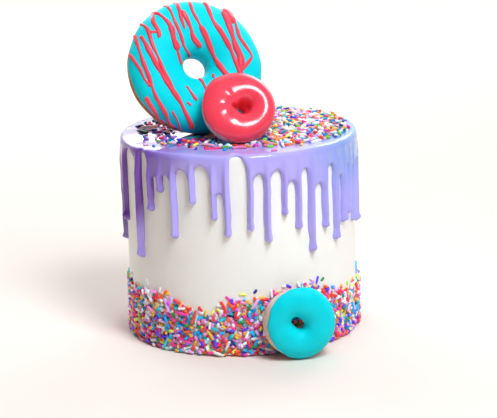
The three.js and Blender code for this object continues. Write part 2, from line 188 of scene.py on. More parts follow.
class CakeSizes(bpy.types.PropertyGroup):
    """Sizes of the cake and its toppings."""
    cream_radius: length("Cream radius", 75, "Radius of the cream-covered body")
    cream_height: length("Cream height", 128.7, "Height of the cream-covered body")
    cream_edge: length("Cream edge", 1.2, "Rounding of the cream's upper edge")
    icing_thickness: length("Icing thickness", 1, "Thickness of the drip icing on top")
    drip_thickness: length("Drip thickness", 1.95, "Thickness of the drip icing on the side")
    icing_edge: length("Icing edge width", 2.3, "How far in from its edge it has its full thickness")
    glaze_thickness: length("Glaze thickness", 1.5, "Thickness of the icing on the doughnuts")
    sprinkle_radius: length("Sprinkle radius", 1.0, "Radius of one sugar rod")
    side_sprinkles: number("Side sprinkles", 40000, 60, "Sugar rods thrown at the band round the foot")
    top_sprinkles: number("Top sprinkles", 14000, 60, "Sugar rods thrown on top")
    seed: number("Seed", 7, 0, "Seed of the scattered sprinkles")


class CakeColours(bpy.types.PropertyGroup):
    """Colours of the cake and its toppings."""
    cream: tint("Cream", "FBF8F1", "Smoothed buttercream")
    icing: tint("Drip icing", "B5A7F2", "Poured drip icing")
    turquoise: tint("Turquoise icing", "00D6E0", "Icing of the large and the side doughnut")
    coral: tint("Coral icing", "FF4458", "Icing of the small doughnut on top, and the drizzle")
    fried: tint("Fried dough", "D8964C", "Dough of the large doughnut")
    pale: tint("Pale dough", "F3DACE", "Dough of the small doughnuts")
    floor: tint("Floor", "EEDDD2", "Plain floor")


# Shapes

def sine(degrees):
    return np.sin(np.radians(degrees))


def cosine(degrees):
    return np.cos(np.radians(degrees))


def power(values, exponent):
    """A power of the values' sizes that keeps their signs."""
    return np.sign(values) * np.abs(values) ** exponent


def quarter_round(share):
    """Height of a quarter of a circle, from nought at its foot to one."""
    return np.sqrt(1 - (1 - share) ** 2)


def looked_up(table, place):
    """The value at a place between those listed."""
    return np.interp(place, *np.transpose(table))


def around(azimuth, radius, height):
    """Points at an azimuth in degrees, a distance from the axis and a height."""
    return np.stack(np.broadcast_arrays(radius * sine(azimuth), -radius * cosine(azimuth), height), -1)


def azimuths(points):
    """Azimuths of points, from -120 degrees."""
    return (np.degrees(np.arctan2(points[:, 0], -points[:, 1])) + 120) % 360 - 120


def lumps(points, size, seed):
    """Smooth unevenness from about -1 to 1: nine sines of that wavelength in seeded directions."""
    random = np.random.default_rng(seed)
    ways = random.normal(size=(9, 3))
    waves = size * random.uniform(0.75, 1.6, (9, 1))
    ways *= 2 * np.pi / (waves * np.linalg.norm(ways, axis=1, keepdims=True))
    return np.sin(points @ ways.T + random.uniform(0, 2 * np.pi, 9)).sum(-1) / 4.5


def ring_quads(rings, columns, closed=False):
    """Faces between stacked rings of corners. The rings go up as the columns go anticlockwise."""
    numbers = np.arange(rings * columns).reshape(rings, columns)
    above = np.roll(numbers, -1, 0)
    quads = np.stack([numbers, np.roll(numbers, -1, 1), np.roll(above, -1, 1), above], -1)
    return (quads if closed else quads[:-1]).reshape(-1, 4)


def fan(ring, pole):
    """Triangles from a closed ring of corners to a pole above it."""
    return np.stack([ring, np.roll(ring, -1), np.full_like(ring, pole)], -1)


def new_piece(name, shape, look, colours=None):
    """A smooth mesh piece from corners in millimetres and arrays of faces, riding on the root body."""
    points, faces = shape
    mesh = bpy.data.meshes.new(name)
    corners = np.concatenate([face.ravel() for face in faces])
    counts = np.concatenate([np.full(len(face), face.shape[1]) for face in faces])
    mesh.vertices.add(len(points))
    mesh.vertices.foreach_set("co", (points * MM).astype(np.float32).ravel())
    mesh.loops.add(len(corners))
    mesh.loops.foreach_set("vertex_index", corners.astype(np.int32))
    mesh.polygons.add(len(counts))
    mesh.polygons.foreach_set("loop_start", (np.cumsum(counts) - counts).astype(np.int32))
    mesh.update(calc_edges=True)
    mesh.validate()
    mesh.shade_smooth()
    if colours is not None:
        shown = mesh.color_attributes.new(name="sugar_colour", type="FLOAT_COLOR", domain="POINT")
        shown.data.foreach_set("color", colours.astype(np.float32).ravel())
    mesh.materials.append(look)
    piece = bpy.data.objects.new(name, mesh)
    bpy.context.scene.collection.objects.link(piece)
    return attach(piece, "root")


def cream_wave(azimuth, height, whole):
    """How far the hand-smoothed cream is out of round: by two and five swells, none at its ends."""
    swell = 0.3 * sine(2 * azimuth + 40) + 0.2 * sine(5 * azimuth)
    return swell * np.sin(np.pi * np.clip(height / whole, 0, 1))


def cream_body(sizes):
    """A profile carried round the axis: flat base, small lower edge, side, rounded upper edge, top."""
    radius, height, edge = sizes.cream_radius / MM, sizes.cream_height / MM, sizes.cream_edge / MM
    columns, low, turn = 240, 0.9, np.linspace(0, 90, 9)
    foot = np.stack([radius - low + low * sine(turn), low - low * cosine(turn)], -1)
    side = np.stack([np.full(70, radius), np.linspace(low, height - edge, 72)[1:-1]], -1)
    shoulder = np.stack([radius - edge + edge * cosine(turn), height - edge + edge * sine(turn)], -1)
    profile = np.concatenate([[[40, 0], [70, 0]], foot, side, shoulder, [[60, height], [30, height]]])
    azimuth = np.linspace(0, 360, columns, endpoint=False)
    reach, level = profile[:, :1], profile[:, 1:]
    wall = around(azimuth, reach, level)
    out = cream_wave(azimuth, level, height) + 0.06 * lumps(wall * (0.5, 0.5, 1), 16, 3) * (reach > 71)
    rings = around(azimuth, reach + out, level).reshape(-1, 3)
    points = np.concatenate([rings, [(0, 0, 0), (0, 0, height)]])
    first = np.arange(columns)
    base = fan(first, len(points) - 2)[:, ::-1]
    lid = fan(first + columns * (len(profile) - 1), len(points) - 1)
    return points, [ring_quads(len(profile), columns), base, lid]


# Drip icing, unrolled: one way is the azimuth, the other the path from the top's centre, outwards
# over the flat top, round the edge and down the side.

def icing_sizes(sizes):
    """Radius, top and corner of the icing's underside, the flat top's reach and the side's start."""
    radius = sizes.cream_radius / MM + NODE_GAP
    top = sizes.cream_height / MM + NODE_GAP
    corner = sizes.cream_edge / MM + NODE_GAP
    return radius, top, corner, radius - corner, radius - corner + corner * np.pi / 2


def icing_point(sizes, azimuth, path, lift):
    """The point at an azimuth and a path, lifted off the icing's underside."""
    radius, top, corner, flat, side = icing_sizes(sizes)
    turn = np.clip((path - flat) / corner, 0, np.pi / 2)
    reach = np.minimum(path, flat) + (corner + lift) * np.sin(turn)
    height = top - corner + (corner + lift) * np.cos(turn) - np.maximum(path - side, 0)
    return around(azimuth, reach + cream_wave(azimuth, height, sizes.cream_height / MM), height)


def path_at(sizes, height):
    """The path at which the icing's underside has a height."""
    radius, top, corner, flat, side = icing_sizes(sizes)
    above = height - (top - corner)
    return np.where(above <= 0, side - above, flat + corner * np.arccos(np.clip(above / corner, 0, 1)))


def all_drips():
    """The drips of the front as listed, then those of the rear by fixed irrational steps."""
    start, span = FRONT_DRIPS[-1][0], 360 + FRONT_DRIPS[0][0] - FRONT_DRIPS[-1][0]
    index = np.arange(1, REAR_DRIPS + 1)
    shift = index * 0.618034 % 1 - 0.5
    azimuth = start + span * (index + 0.4 * shift) / (REAR_DRIPS + 1)
    tip = 64 + 40 * ((0.3 + index * 0.7548776662) % 1)
    rear = np.stack([azimuth, tip, 4.8 + shift, 108 + 16 * (index * 0.569840291 % 1)], -1)
    return np.concatenate([np.array(FRONT_DRIPS, float), rear])


def drip_outline(sizes, drips, around_length):
    """The icing's lower edge, unrolled, as one run of points for each drip: from the top of the arch
    on its left, on an ellipse down to its left side, round its bead, and up to the arch on its right.
    Left of the front an arch is highest near the drip on its left, right of it near the other one.
    A drip is pinched in just above its bead."""
    azimuth, tip, width, arch = drips.T[..., None]
    centre, half = azimuth * (around_length / 360), width / 2
    tip_path, arch_path = path_at(sizes, tip), path_at(sizes, arch)
    to_next = np.roll(centre - half, -1) - centre - half
    to_next[-1] += around_length
    right_of_front = (azimuth > 0) & (azimuth < 180)
    share = np.where(right_of_front, 0.64, 0.38)
    apex = centre + half + share * to_next
    left_apex, left_path = np.roll(apex, 1), np.roll(arch_path, 1)
    left_apex[0] -= around_length
    room = tip_path - 1.7 * width
    right_drop = share * to_next * np.where(right_of_front, 1.8, 0.9)
    left_drop = np.roll((1 - share) * to_next, 1) * 2.1 + 1.5 * np.roll(right_of_front, 1)
    right_drop = np.clip(right_drop, 1, np.maximum(np.minimum(room - arch_path, 9), 1))
    left_drop = np.clip(left_drop, 1.2, np.maximum(np.minimum(room - left_path, 11), 1.2))
    pinch = np.where(np.isin(azimuth, PINCHED), 0.32, 0.1)
    phase = np.random.default_rng(11).uniform(0, 6.28, azimuth.shape)
    bow, share = np.linspace(0, 90, 10)[:-1], np.linspace(0, 1, 30)

    def flank(way, apex, path, drop):
        """From an arch's top, on an ellipse, to a drip's side and down to its bead; and how far aside
        the bead sways."""
        above = tip_path - (path + drop)
        q = above + (BEAD * width - above) * share
        free = np.clip((above - q) / width, 0, 1)
        narrow = pinch * np.exp(-(((q / width - 1.75) / 0.7) ** 2)) * free
        swell = 0.12 * np.exp(-(((q / width - BEAD) / 0.5) ** 2)) * free
        sway = 0.3 * np.sin(q / 7 + phase) * free
        across = apex + (centre + way * half - apex) * sine(bow)
        arched = np.stack([across, path + drop * (1 - cosine(bow))], -1)
        run = np.stack([centre + way * half * (1 + swell - narrow) + sway, tip_path - q], -1)
        return np.concatenate([arched, run], 1), sway[:, -1:]

    left, end_sway = flank(-1, left_apex, left_path, left_drop)
    right, _ = flank(1, apex, arch_path, right_drop)
    bead, turn = 2 * BEAD * half, np.linspace(0, 180, 16)[1:-1]
    bottom = np.stack([centre + end_sway - bead * cosine(turn), tip_path - bead * (1 - sine(turn))], -1)
    return np.concatenate([left, bottom, right[:, ::-1]], 1)


def edge_distance(x, path, outline, around_length):
    """Distance of each grid point from the lower edge, positive inside the icing. A point is inside
    if the way down from it crosses the edge an odd number of times."""
    count = len(outline)
    field = np.empty((len(path), len(x)))
    for index in range(count):
        own = outline[index]
        columns = np.flatnonzero((x >= own[0, 0]) & (x < own[-1, 0]))
        before = outline[index - 1] - (around_length * (index == 0), 0)
        after = outline[(index + 1) % count] + (around_length * (index == count - 1), 0)
        line = np.concatenate([before, own, after])
        start, step = line[:-1], np.diff(line, axis=0)
        spots = np.stack(np.meshgrid(x[columns], path), -1)
        gap = spots[:, :, None] - start
        share = np.clip((gap * step).sum(-1) / ((step ** 2).sum(-1) + 1e-12), 0, 1)
        nearest = np.linalg.norm(gap - share[..., None] * step, axis=-1).min(-1)
        start, step = own[:-1], np.diff(own, axis=0)
        over = (start[:, 0] <= spots[..., :1]) != (start[:, 0] + step[:, 0] <= spots[..., :1])
        flat = np.where(step[:, 0] == 0, 1e-12, step[:, 0])
        crossing = start[:, 1] + step[:, 1] * (spots[..., :1] - start[:, 0]) / flat
        inside = (over & (crossing > spots[..., 1:])).sum(-1) % 2 == 1
        field[:, columns] = np.where(inside, nearest, -nearest)
    return field


def trimmed_faces(field):
    """Cuts a grid that is closed round its columns where the field is nought (marching squares).
    Gives the corners as (column, row), the polygons by their number of sides, and the cut's edges."""
    rows, columns = field.shape
    inside = field > 0
    right = np.roll(field, -1, axis=1)
    numbers = np.arange(rows * columns).reshape(rows, columns)
    cut_right = np.flatnonzero((inside != (right > 0)).ravel())
    cut_down = np.flatnonzero((inside[:-1] != inside[1:]).ravel())
    right_number, down_number = np.full(numbers.shape, -1), np.full(numbers[1:].shape, -1)
    np.put(right_number, cut_right, rows * columns + np.arange(len(cut_right)))
    np.put(down_number, cut_down, rows * columns + len(cut_right) + np.arange(len(cut_down)))
    share_right = (field / (field - right + 1e-30)).ravel()[cut_right]
    share_down = (field[:-1] / (field[:-1] - field[1:] + 1e-30)).ravel()[cut_down]
    spots = np.concatenate([
        np.stack([numbers.ravel() % columns, numbers.ravel() // columns], -1),
        np.stack([cut_right % columns + share_right, cut_right // columns], -1),
        np.stack([cut_down % columns, cut_down // columns + share_down], -1),
    ])
    corner = [numbers[:-1], np.roll(numbers[:-1], -1, 1), np.roll(numbers[1:], -1, 1), numbers[1:]]
    side = [right_number[:-1], np.roll(down_number, -1, 1), right_number[1:], down_number]
    holds = [inside.ravel()[numbers_at] for numbers_at in corner]
    kind = sum(hold * 2 ** place for place, hold in enumerate(holds))
    polygons, cuts = [], []
    for code in range(1, 16):
        here = kind == code
        if not here.any():
            continue
        within = [bool(code >> place & 1) for place in range(4)]
        loop, leaves = [], []
        for place in range(4):
            if within[place]:
                loop.append(corner[place][here])
            if within[place] != within[(place + 1) % 4]:
                loop.append(side[place][here])
                if within[place]:
                    entry = next(p % 4 for p in range(place + 1, place + 5)
                                 if not within[p % 4] and within[(p + 1) % 4])
                    leaves.append(np.stack([side[place][here], side[entry][here]], -1))
        polygons.append(np.stack(loop, -1))
        cuts += leaves
    return spots, polygons, np.concatenate(cuts)


def drip_icing(sizes):
    """The icing's outer face stands off its underside by the quarter-round of the distance from its
    lower edge, with a thicker bead at each tip and a low ridge above each drip."""
    radius, top, corner, flat, side = icing_sizes(sizes)
    thick, wide = sizes.icing_thickness / MM, sizes.icing_edge / MM
    pool = sizes.drip_thickness / MM - thick
    around_length = 2 * np.pi * radius
    drips = all_drips()
    outline = drip_outline(sizes, drips, around_length)
    columns, down = 840, 0.82
    start = outline[0, 0, 0] + 1e-6
    x = start + np.arange(columns) * around_length / columns
    path = np.arange(flat, path_at(sizes, drips[:, 1].min()) + 2 * down, down)
    field = edge_distance(x, path, outline, around_length)
    spots, polygons, cuts = trimmed_faces(field)
    grid_count = columns * len(path)
    x_of = start + spots[:, 0] * around_length / columns
    azimuth, path_of = x_of * 360 / around_length, flat + spots[:, 1] * down
    depth = np.zeros(len(spots))
    depth[:grid_count] = np.maximum(field.ravel(), 0)
    centre = drips[:, 0] * around_length / 360
    gap = (x_of[:, None] - centre + around_length / 2) % around_length - around_length / 2
    nearest = np.abs(gap).argmin(1)
    off = np.take_along_axis(gap, nearest[:, None], 1)[:, 0]
    tip_path = path_at(sizes, drips[:, 1])[nearest]
    bead_gap = np.hypot(off, path_of - tip_path + BEAD * drips[nearest, 2])
    rounded = quarter_round(np.minimum(depth / wide, 1))
    bead = 1.5 * np.exp(-((bead_gap / 1.9) ** 2))
    from_front = np.abs((drips[:, 0] + 180) % 360 - 180)
    crest = np.interp(from_front, [58, 68, 100, 110], [2.1, 0.9, 0.9, 2.1])[nearest]
    run = np.clip((path_of - side) / 14, 0, 1) * np.clip((tip_path - path_of) / 5.5, 0, 1)
    ridge = crest * run * np.exp(-((off / 1.7) ** 2))
    rough = 0.16 * lumps(around(azimuth, radius, path_of), 17, 5)
    pooled = pool * sine(90 * np.clip((path_of - flat) / 5, 0, 1))
    lift = rounded * (thick + pooled + bead + ridge + rough)
    outer = icing_point(sizes, azimuth, path_of, lift)
    under = icing_point(sizes, azimuth, path_of, -SUNK)
    used = np.unique(np.concatenate([polygon.ravel() for polygon in polygons]))
    number = np.full(len(spots), -1)
    number[used] = np.arange(len(used))
    polygons = [number[polygon] for polygon in polygons]
    cuts = number[cuts]
    count = len(used)
    walls = np.stack([cuts[:, 0], cuts[:, 1], cuts[:, 1] + count, cuts[:, 0] + count], -1)
    turn = x * 360 / around_length
    points, faces = [outer[used], under[used]], [walls]
    faces += [polygon[:, ::-1] for polygon in polygons] + [polygon + count for polygon in polygons]
    total = 2 * count
    for reaches, shift, raised in (([67, 59, 48, 34, 18], 0, True), ([40], count, False)):
        reaches = np.array(reaches, float)[:, None]
        level = thick + 0.22 * lumps(around(turn, reaches, 0), 26, 9) if raised else -SUNK
        rings = icing_point(sizes, turn, reaches, level + 0 * reaches)
        points += [rings.reshape(-1, 3), [(0, 0, top + (thick if raised else -SUNK))]]
        own = total + np.arange(rings.size // 3).reshape(-1, columns)
        stacked = np.concatenate([[number[:columns] + shift], own])
        following = np.roll(stacked, -1, 1)
        bands = np.stack([stacked[:-1], following[:-1], following[1:], stacked[1:]], -1)
        cap = fan(stacked[-1], total + rings.size // 3)
        flip = slice(None) if raised else slice(None, None, -1)
        faces += [bands.reshape(-1, 4)[:, flip], cap[:, flip]]
        total += rings.size // 3 + 1
    return np.concatenate(points), faces


# Sugar sprinkles

ROD_SIDES = 6
SHORT_RODS = 6.2  # length up to which a rod is straight and belongs to the short ones
SOLID_RODS_SIDE, SOLID_RODS_TOP = 56, 50
PRESSED_SIDE, PRESSED_TOP = 0.55, 0.3  # how far the rods are pressed in
BAND_REACH = 58  # height up to which rods are thrown at the side
TOP_REACH = 76  # distance from the axis up to which they are thrown on top


def unit(vectors):
    return vectors / np.linalg.norm(vectors, axis=1, keepdims=True)


def capsule_rods(ends, bend, radius, rings):
    """Six-sided rods with blunt round ends: rings are carried along each axis, which bows sideways by
    a parabola of height bend."""
    axis = ends[:, 1] - ends[:, 0]
    reach = np.linalg.norm(axis, axis=1)
    ahead = axis / reach[:, None]
    helper = np.where(np.abs(ahead[:, 2:]) < 0.9, (0.0, 0.0, 1.0), (1.0, 0.0, 0.0))
    first = unit(np.cross(ahead, helper))
    second = np.cross(ahead, first)
    middle = np.linspace(0.95 * radius, reach - 0.95 * radius, rings - 2, axis=1)
    edge = np.full((len(ends), 1), 0.25 * radius)
    along = np.concatenate([0 * edge, edge, middle, reach[:, None] - edge, reach[:, None]], 1)
    wide = radius * np.array([0, 0.72] + [1] * (rings - 2) + [0.72, 0])
    bow = bend[:, None] * (1 - (2 * along / reach[:, None] - 1) ** 2)
    centre = ends[:, None, 0] + along[..., None] * ahead[:, None] + bow[..., None] * first[:, None]
    turn = np.arange(0, 360, 360 // ROD_SIDES)[:, None]
    across = cosine(turn) * first[:, None] + sine(turn) * second[:, None]
    loops = centre[:, 1:-1, None] + wide[1:-1, None, None] * across[:, None]
    count = ROD_SIDES * rings
    points = np.concatenate([loops.reshape(len(ends), count, 3), centre[:, [0, -1]]], 1)
    lower = fan(np.arange(ROD_SIDES), count)[:, ::-1]
    upper = fan(np.arange(count - ROD_SIDES, count), count + 1)
    start = (count + 2) * np.arange(len(ends))[:, None, None]
    faces = (ring_quads(rings, ROD_SIDES), lower, upper)
    return points.reshape(-1, 3), [(face + start).reshape(-1, face.shape[1]) for face in faces]


def pile_up(spots, radius, most, around_length=0.0):
    """Lays rods one after another on a bed. spots has both ends of each rod in the bed's plane. Where
    a rod's axis passes at a gap under one thickness from an earlier axis, it lies the square root of
    thickness squared minus gap squared above it. A rod that would lie higher than most is left out.
    Gives the ends' heights and which rods stay."""
    shares, close = np.linspace(0, 1, 5), 11
    heights = np.zeros((len(spots), 2))
    kept = np.zeros(len(spots), bool)
    middle = spots.mean(1)
    for index, rod in enumerate(spots):
        near = np.flatnonzero(kept[:index] & (np.abs(middle[:index, 1] - middle[index, 1]) < close))
        shift = middle[near, 0] - middle[index, 0]
        if around_length:
            shift = shift - around_length * np.round(shift / around_length)
        near, shift = near[np.abs(shift) < close], shift[np.abs(shift) < close]
        needed = np.full(5, radius)
        if len(near):
            start = spots[near, 0].copy()
            start[:, 0] += shift - middle[near, 0] + middle[index, 0]
            step = spots[near, 1] - spots[near, 0]
            probe = rod[0] + shares[:, None] * (rod[1] - rod[0])
            gap = probe[:, None] - start
            share = np.clip((gap * step).sum(-1) / (step ** 2).sum(-1), 0, 1)
            apart = np.linalg.norm(gap - share[..., None] * step, axis=-1)
            level = heights[near, 0] + share * (heights[near, 1] - heights[near, 0])
            rest = level + np.sqrt(np.maximum(4 * radius ** 2 - apart ** 2, 0))
            needed = np.maximum(needed, np.where(apart < 2 * radius, rest, 0).max(1))
        reach = np.linalg.norm(rod[1] - rod[0])
        low, high = needed[0], needed[4]
        low, high = max(low, high - 0.6 * reach), max(high, low - 0.6 * reach)
        short = (needed - (low + shares * (high - low))).max()
        heights[index] = low + max(short, 0), high + max(short, 0)
        kept[index] = heights[index].max() < most[index]
    return heights, kept


def fills_gaps(spots, radius, least):
    """True for rods that, taken in turn, still close a gap: of the bed under a rod, at least that
    share is bare. Works on a grid of cells half a millimetre wide."""
    cell = 0.5
    low = spots.min((0, 1)) - 2
    taken = np.zeros(np.ceil((spots.max((0, 1)) + 2 - low) / cell).astype(int), bool)
    axis = spots[:, 1] - spots[:, 0]
    reach = np.linalg.norm(axis, axis=1, keepdims=True)
    side = np.stack([-axis[:, 1], axis[:, 0]], -1) / reach * radius * 0.8
    along, across = np.meshgrid(np.linspace(0, 1, 9), np.linspace(-1, 1, 4))
    probes = spots[:, :1] + along.reshape(-1, 1) * axis[:, None] + across.reshape(-1, 1) * side[:, None]
    cells = ((probes - low) / cell).astype(int)
    chosen = np.zeros(len(spots), bool)
    for index, (x, y) in enumerate(cells.transpose(0, 2, 1)):
        if 1 - taken[x, y].mean() >= least:
            taken[x, y] = chosen[index] = True
    return chosen


def first_rods(count):
    """The rods that the solids carry: steps of fixed irrational fractions spread them evenly."""
    longest, shortest, index = 10.0, 6.5, np.arange(count)
    return (
        (0.5 + index * 0.7548776662) % 1, (0.5 + index * 0.569840291) % 1,
        np.pi * ((0.5 + index * 0.8191725134) % 1), longest + (shortest - longest) * index / count)


def rod_lengths(count, random):
    """Mostly short broken rods, and one in seventeen whole."""
    short = random.triangular(2.5, 3.3, 5.6, count)
    return np.where(random.uniform(0, 1, count) < 0.06, random.uniform(7, 10.5, count), short)


def sugar_pieces(name, ends, shades, radius, random, sugar, tone):
    """One piece of the short rods and one of the long ones, which are bowed. Each rod has a colour,
    with a slight difference in tone from rod to rod."""
    palette = np.array([linear(row[0]) for row in SUGAR])
    reach = np.linalg.norm(ends[:, 1] - ends[:, 0], axis=1)
    for kind, chosen, rings, bow in (
            ("short", reach < SHORT_RODS, 4, 0.0), ("long", reach >= SHORT_RODS, 7, 0.75)):
        count = int(chosen.sum())
        shape = capsule_rods(ends[chosen], random.normal(0, 1, count) * bow, radius, rings)
        colours = palette[shades[chosen]]
        # tone scales every rod's colour. On the side it is painted light, brightening the rods against
        # the shade between them.
        colours[:, :3] = np.clip(colours[:, :3] * tone * random.uniform(0.8, 1.12, (count, 1)), 0, 1)
        colours = np.repeat(colours, ROD_SIDES * rings + 2, axis=0)
        new_piece(f"{kind}_{name}", shape, sugar, colours)


def draw_shades(count, column, random):
    """Palette places, drawn by the shares in that column."""
    share = np.array([row[column] for row in SUGAR], float)
    return random.choice(len(SUGAR), count, p=share / share.sum())


def in_ring(shape, points, margin):
    """True where points are inside a doughnut's rounded section, or within the margin of it."""
    local = (points - shape["centre"]) @ np.array(ring_axes(shape)).T
    middle, half = (shape["outer"] + shape["hole"]) / 2, (shape["outer"] - shape["hole"]) / 2
    across = np.abs((np.hypot(local[..., 0], local[..., 1]) - middle) / (half + margin))
    through = np.abs(local[..., 2] / (shape["thickness"] / 2 + margin))
    return across ** SECTION_POWER + through ** SECTION_POWER < 1


def clear_of_rings(start, end, shapes, margin):
    """True for rods whose axes stay clear of the doughnuts."""
    points = start[:, None] + np.linspace(0, 1, 5)[:, None] * (end - start)[:, None]
    return ~np.any([in_ring(shape, points, margin).any(1) for shape in shapes], axis=0)


def side_sprinkles(sizes, sugar):
    """Rods pressed on the side in a band round the foot, thinning out at its ragged upper edge."""
    random = np.random.default_rng(sizes.seed)
    radius, body, whole = sizes.sprinkle_radius / MM, sizes.cream_radius / MM, sizes.cream_height / MM
    strays = np.array(SIDE_STRAYS, float)
    across, along, angle, size = first_rods(SOLID_RODS_SIDE)
    azimuth = SEAM + 360 - 360 * across
    reach = np.abs(np.cos(angle)) * size / 2 + 1
    height = reach + (looked_up(BAND_TOP, azimuth) - 2 * reach) * along
    more = sizes.side_sprinkles
    turn, level = random.uniform(SEAM, SEAM + 360, more), random.uniform(0, BAND_REACH, more)
    level = np.where(random.uniform(0, 1, more) < 0.05, 1.0, level)
    lying, leaning = np.pi / 2 + random.normal(0, 0.3, more), random.uniform(0, np.pi, more)
    lean = np.where(level < 2.5, lying, leaning)
    edge = looked_up(BAND_TOP, turn) + 1.2 * np.sin(turn * 0.9) + 0.8 * np.sin(turn * 2.3)
    chance = np.interp(level - edge, [-6, -3, -1, 0.5, 3, 6], [1, 0.85, 0.35, 0.06, 0.012, 0])
    stays = random.uniform(0, 1, more) < chance * looked_up(BAND_DENSITY, turn)
    azimuth = np.concatenate([strays[:, 0], azimuth, turn[stays]])
    height = np.concatenate([strays[:, 1], height, level[stays]])
    angle = np.concatenate([np.radians(strays[:, 2]), angle, lean[stays]])
    size = np.concatenate([strays[:, 3], size, rod_lengths(stays.sum(), random)])
    shades = draw_shades(len(size), 1, random)
    shades[:len(strays)] = strays[:, 4]
    reach = np.abs(np.cos(angle)) * size / 2
    height = np.maximum(height, reach + radius + 0.1)
    round_length = 2 * np.pi * body
    way = np.stack([np.sin(angle), np.cos(angle)], -1) * size[:, None] / 2
    centre = np.stack([azimuth * round_length / 360, height], -1)
    spots = np.stack([centre - way, centre + way], 1)
    useful = fills_gaps(spots, radius, 0.1)
    spots, shades = spots[useful], shades[useful]
    turns = spots[..., 0] * 360 / round_length
    most = looked_up(BAND_DEPTH, turns.mean(1))
    lifts, kept = pile_up(spots, 0.46 * radius, most, round_length)
    out = body + cream_wave(turns, spots[..., 1], whole) + lifts - PRESSED_SIDE
    ends = around(turns, out, spots[..., 1])
    kept &= clear_of_rings(ends[:, 0], ends[:, 1], [SIDE], 1.2)
    # The side's rods are made 1.8 times brighter: painted light against the shade between the piled
    # rods.
    sugar_pieces("side_sprinkles", ends[kept], shades[kept], radius, random, sugar, 1.8)


def top_sprinkles(sizes, sugar):
    """Rods strewn on the flat top out to a ragged edge, round the doughnuts that stand there."""
    random = np.random.default_rng(sizes.seed + 1)
    radius = sizes.sprinkle_radius / MM
    level = sizes.cream_height / MM + NODE_GAP + sizes.icing_thickness / MM
    strays = np.array(TOP_STRAYS, float)
    across, along, angle, size = first_rods(SOLID_RODS_TOP)
    centre = around(360 * across, (68.5 - size / 2) * np.sqrt(along), 0)[:, :2]
    more = sizes.top_sprinkles
    thrown, share = random.uniform(0, 360, more), random.uniform(0, 1, more)
    centre = np.concatenate([centre, around(thrown, TOP_REACH * np.sqrt(share), 0)[:, :2]])
    angle = np.append(angle, random.uniform(0, np.pi, more))
    size = np.append(size, rod_lengths(more, random))
    turn = azimuths(centre)
    away = np.hypot(centre[:, 0], centre[:, 1])
    edge = looked_up(TOP_EDGE, turn) + 1.0 * np.sin(turn * 0.7) + 0.7 * np.sin(turn * 1.9)
    chance = np.interp(away - edge, [-7, -3, 0, 2.5, 6, 9], [1, 0.8, 0.3, 0.05, 0.01, 0])
    chance = chance * looked_up(TOP_DENSITY, turn)
    stays = (random.uniform(0, 1, len(centre)) < chance) & (away < 72)
    centre = np.concatenate([around(strays[:, 0], strays[:, 1], 0)[:, :2], centre[stays]])
    angle = np.concatenate([np.radians(strays[:, 2]), angle[stays]])
    size = np.concatenate([strays[:, 3], size[stays]])
    # Rods at the top's left, out of the glare, take the side's shares. The rest take the top's shares,
    # which are lightened as painted sheen.
    left = (centre[:, 0] < -15) & (centre[:, 1] < 30)
    shades = np.where(left, draw_shades(len(size), 1, random), draw_shades(len(size), 2, random))
    shades += 5 * ((centre[:, 0] < -38) & (centre[:, 1] > -35) & (shades > 4) & (shades < 8))
    shades[:len(strays)] = strays[:, 4]
    way = np.stack([np.cos(angle), np.sin(angle)], -1) * size[:, None] / 2
    spots = np.stack([centre - way, centre + way], 1)
    clear = np.ones(len(spots), bool)
    for height in (level + 0.9, level + 3.0):
        tall = np.concatenate([spots, np.full(spots.shape[:2] + (1,), height)], -1)
        clear &= clear_of_rings(tall[:, 0], tall[:, 1], [BIG, PINK], 0.9)
    clear &= fills_gaps(spots, radius, 0.2)
    spots, shades = spots[clear], shades[clear]
    lifts, kept = pile_up(spots, 0.6 * radius, looked_up(TOP_DEPTH, azimuths(spots.mean(1))))
    ends = np.concatenate([spots, (level + lifts - PRESSED_TOP)[..., None]], -1)[kept]
    sugar_pieces("top_sprinkles", ends, shades[kept], radius, random, sugar, 1.0)


# Ring doughnuts

def ring_axes(shape):
    """Right, up and outward directions of a doughnut's face."""
    turn, lean = math.radians(shape["turn"]), math.radians(shape["lean"])
    right = (math.cos(turn), math.sin(turn), 0)
    up = (-math.sin(turn) * math.sin(lean), math.cos(turn) * math.sin(lean), math.cos(lean))
    out = (math.sin(turn) * math.cos(lean), -math.cos(turn) * math.cos(lean), math.sin(lean))
    return right, up, out


def ring_edges(shape, turn):
    """Radii of the ring's outer edge and of its hole."""
    count, swing, phase = shape["lobes"]
    wave, start = shape["wobble"]
    hole = shape["hole"] + swing * cosine(count * turn + phase) + shape["aside"] * cosine(turn + 10)
    return shape["outer"] + wave * sine(2 * turn + start), hole


def ring_point(shape, glaze, turn, angle, lift):
    """Point of the dough's rounded section, lifted off it. turn goes round the ring, angle round the
    section from the outer rim over the front. The section is a superellipse: each coordinate is the
    cosine or sine to the power 2 / p, and the front half is lower by the icing's thickness."""
    outer, hole = ring_edges(shape, turn)
    hole = hole * (1 - shape["closed"] * np.clip(-sine(angle), 0, 1))
    half = (outer - hole) / 2
    depth = shape["thickness"] / 2 - np.where(sine(angle) > 0, glaze + NODE_GAP, 0)
    across, through = power(cosine(angle), 2 / SECTION_POWER), power(sine(angle), 2 / SECTION_POWER)
    slope_across = power(across, SECTION_POWER - 1) / half
    slope_through = power(through, SECTION_POWER - 1) / depth
    steep = np.hypot(slope_across, slope_through)
    crest = shape["skew"] * cosine(turn + 35) - shape["crest"]
    radius = (outer + hole) / 2 + half * across + lift * slope_across / steep
    radius = radius + crest * np.clip(through, 0, 1) ** 2
    height = depth * through + lift * slope_through / steep
    local = np.stack([radius * cosine(turn), radius * sine(turn), height], -1)
    away = np.stack([slope_across * cosine(turn), slope_across * sine(turn), slope_through], -1)
    return local + shape["lump"] * lumps(local, 22, 21)[..., None] * away / steep[..., None]


def to_world(shape, local, raised=0):
    """Turns a doughnut's own coordinates into the cake's, and flattens it where it rests."""
    points = local @ np.array(ring_axes(shape)) + shape["centre"]
    points[..., 2] = np.maximum(points[..., 2], shape["floor"] + raised)
    return points


